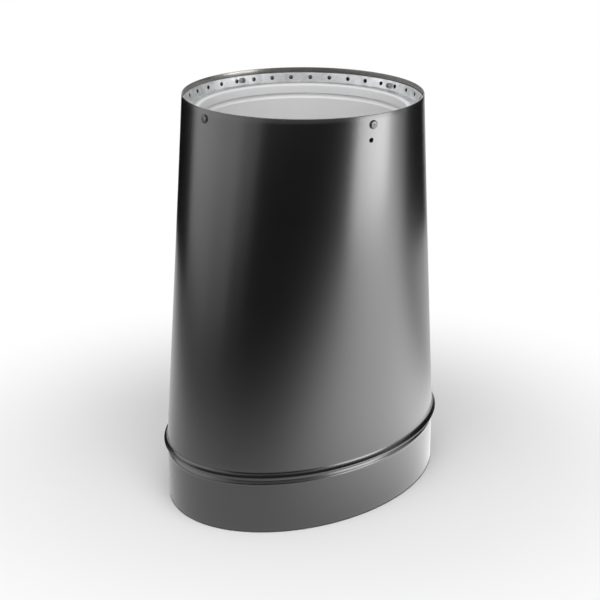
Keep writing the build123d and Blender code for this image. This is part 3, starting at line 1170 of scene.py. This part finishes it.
def makeCard(name, corners):
    return makeObject(name, corners, [(0, 1, 2, 3)])


def makeSquare(name, half, z):
    return makeCard(name, [(-half, -half, z), (half, -half, z), (half, half, z), (-half, half, z)])


def addFlag(name, flag):
    foot = standing(flag["turn"], flag["away"], bottomZ)
    along = Vector((-foot.y, foot.x, 0)).normalized() * flag["width"] / 2
    up = Vector((0, 0, flag["height"]))
    card = makeCard(name, [foot - along, foot + along, foot + along + up, foot - along + up])
    makeGlowing(card, name + "Felt").default_value = flag["level"]


def addCeiling():
    card = makeSquare("ceilingCard", ceiling["half"], bottomZ + ceiling["height"])
    makeGlowing(card, "ceilingFelt").default_value = ceiling["level"]


def ease(value, low, high):
    share = min(max((value - low) / (high - low), 0.0), 1.0)
    return share * share * (3 - 2 * share)


# painted light: how bright the table is at a spot, brighter to the right where the right softbox would light
# it
def glowAt(right, front):
    slant = front - tableGlow["slant"] * right
    base = tableGlow["level"] * (1 - ease(slant, *tableGlow["fade"]))
    base *= 1 - tableGlow["leftDrop"] * ease(-right, *tableGlow["leftFade"])
    side = tableGlow["rightLevel"] * ease(right, *tableGlow["rightStart"])
    side *= 1 - ease(slant, *tableGlow["rightFade"])
    side *= 1 - ease(-front, *tableGlow["rightBackFade"])
    return base + side


def addTableGlow():
    # a glowing sheet on the table round the object, seen by reflections alone, with the table's light
    # painted into its glow
    inner, ringCount, turns = tableGlow["inner"], tableGlow["rings"], tableGlow["turns"]
    outer = tableGlow["reach"] / min(ovalHalf)
    vertices, levels, faces = [], [], []
    toRight, toFront = standing(90, 1), standing(0, 1)
    for step in range(ringCount + 1):
        ring = inner + (outer - inner) * (step / ringCount) ** 2
        for index in range(turns):
            angle = index * fullTurn / turns
            spot = Vector((ovalHalf[0] * ring * math.cos(angle), ovalHalf[1] * ring * math.sin(angle), 0))
            levels.append(glowAt(spot.dot(toRight), spot.dot(toFront)))
            vertices.append((spot.x, spot.y, bottomZ + tableGlow["lift"]))
    for row in range(ringCount):
        for index in range(turns):
            here, beside = row * turns + index, row * turns + (index + 1) % turns
            faces.append((here, beside, beside + turns, here + turns))
    card = makeObject("tableGlow", vertices, faces)
    addPointValues(card.data, "glow", levels)
    strength = makeGlowing(card, "tableGlowPaintedLight")
    tree = card.data.materials[0].node_tree
    tree.links.new(pointValues(tree, "glow"), strength)


def seenDirectly(tree):
    # one for rays that show a background: the camera's, reflected ones and those through glass
    path = addNode(tree, "LightPath")
    seen = addMath(tree, "MAXIMUM", path.outputs["Is Camera Ray"], path.outputs["Is Glossy Ray"])
    return addMath(tree, "MAXIMUM", seen, path.outputs["Is Transmission Ray"])


def mixShaders(tree, share, first, second):
    mix = addNode(tree, "MixShader")
    tree.links.new(share, mix.inputs["Fac"])
    tree.links.new(first.outputs[0], mix.inputs[1])
    tree.links.new(second.outputs[0], mix.inputs[2])
    return mix


def addFloor():
    # matt and pale beside the object, so that its shadow shows, and plain white farther out
    floor = makeSquare("studioFloor", floorLook["half"], bottomZ)
    material, tree, shader = startFinish("paleFloor")
    grey, rough = (floorLook["colour"],) * 3 + (1,), floorLook["roughness"]
    setInputs(shader, {"Base Color": grey, "Roughness": rough, "Specular IOR Level": 0})
    away = addNode(tree, "VectorMath")
    away.operation = "LENGTH"
    tree.links.new(objectPlace(tree), away.inputs[0])
    far = addNode(tree, "MapRange")
    far.interpolation_type = "SMOOTHSTEP"
    setInputs(far, dict(zip(("From Min", "From Max"), floorLook["fade"])))
    tree.links.new(away.outputs["Value"], far.inputs["Value"])
    share = addMath(tree, "MULTIPLY", far.outputs["Result"], seenDirectly(tree))
    pale = mixShaders(tree, share, shader, addNode(tree, "Emission"))
    # clear from beneath, so that the underside can be looked at
    beneath = addNode(tree, "NewGeometry").outputs["Backfacing"]
    surface = mixShaders(tree, beneath, pale, addNode(tree, "BsdfTransparent"))
    tree.links.new(surface.outputs[0], tree.nodes["Material Output"].inputs["Surface"])
    floor.data.materials.append(material)


def addWorld():
    # white where the camera or a reflection looks past the floor, and a soft level for matt surfaces
    world = bpy.data.worlds.new("studioWorld")
    world.use_nodes = True
    tree = world.node_tree
    background = tree.nodes["Background"]
    background.inputs["Color"].default_value = (1, 1, 1, 1)
    level = addMath(tree, "MULTIPLY_ADD", seenDirectly(tree), 1 - worldLevel, worldLevel)
    tree.links.new(level, background.inputs["Strength"])
    bpy.context.scene.world = world


def addCamera():
    data = bpy.data.cameras.new("productCamera")
    data.lens = view["lens"]
    data.sensor_width = view["sensor"]
    data.shift_x, data.shift_y = view["shift"]
    camera = addToScene("productCamera", data)
    up = math.radians(view["elevation"])
    back = standing(0, math.cos(up), math.sin(up))
    camera.location = Vector((0, 0, (bottomZ + rimZ) / 2)) + back * view["distance"]
    faceAlong(camera, -back)
    bpy.context.scene.camera = camera


for name, box in softboxes.items():
    addSoftbox(name, box)
for name, flag in flags.items():
    addFlag(name, flag)
addCeiling()
addTableGlow()
addKeyLamp()
addFloor()
addWorld()
addCamera()
bpy.context.scene.view_settings.view_transform = "Standard"
print("stage set")
